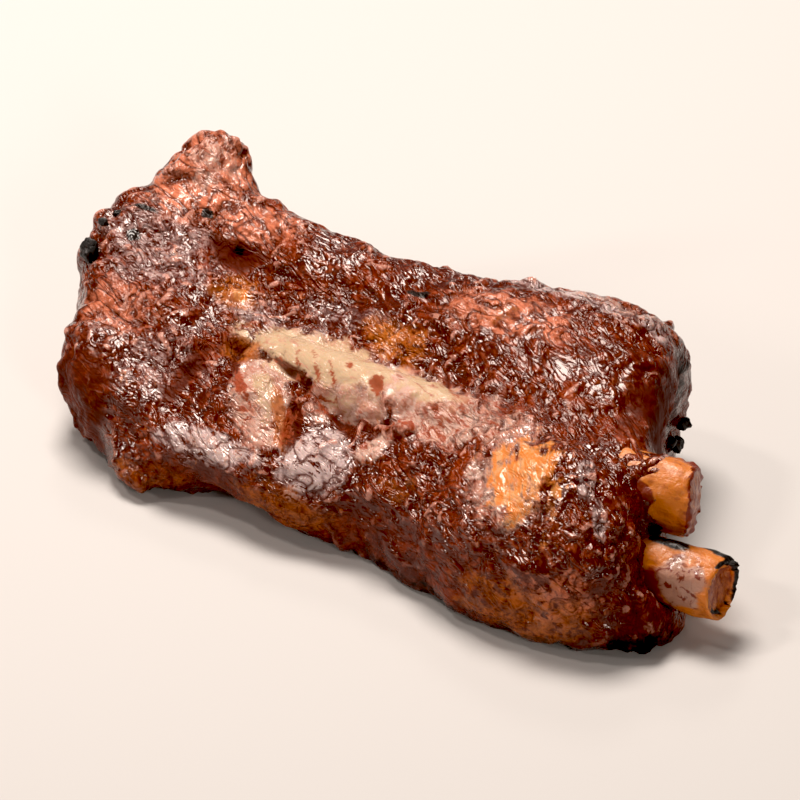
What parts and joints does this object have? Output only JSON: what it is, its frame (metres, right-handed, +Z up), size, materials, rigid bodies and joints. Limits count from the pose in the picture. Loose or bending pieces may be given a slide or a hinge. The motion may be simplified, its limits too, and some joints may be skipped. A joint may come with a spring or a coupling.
{
  "type": "glazed pork rib piece",
  "caption": "Thick cut piece of glazed roasted pork ribs lying bone side up, with rib bones bare on top and standing out of the cut end.",
  "frame": {"origin": "middle of the underside, on the surface the piece rests on", "axes": "+X along the bones towards the cut end where they stand out, +Y towards the high back edge, +Z up"},
  "size_m": [0.1208, 0.0576, 0.0292],
  "materials": {
    "glazed_meat": "sticky dark glaze over browned meat",
    "roasted_bone": "roasted bone, amber to cream, greasy"
  },
  "bodies": {
    "root": {"meat": "glazed_meat", "bone_back": "roasted_bone", "bone_front": "roasted_bone"}
  },
  "joints": []
}
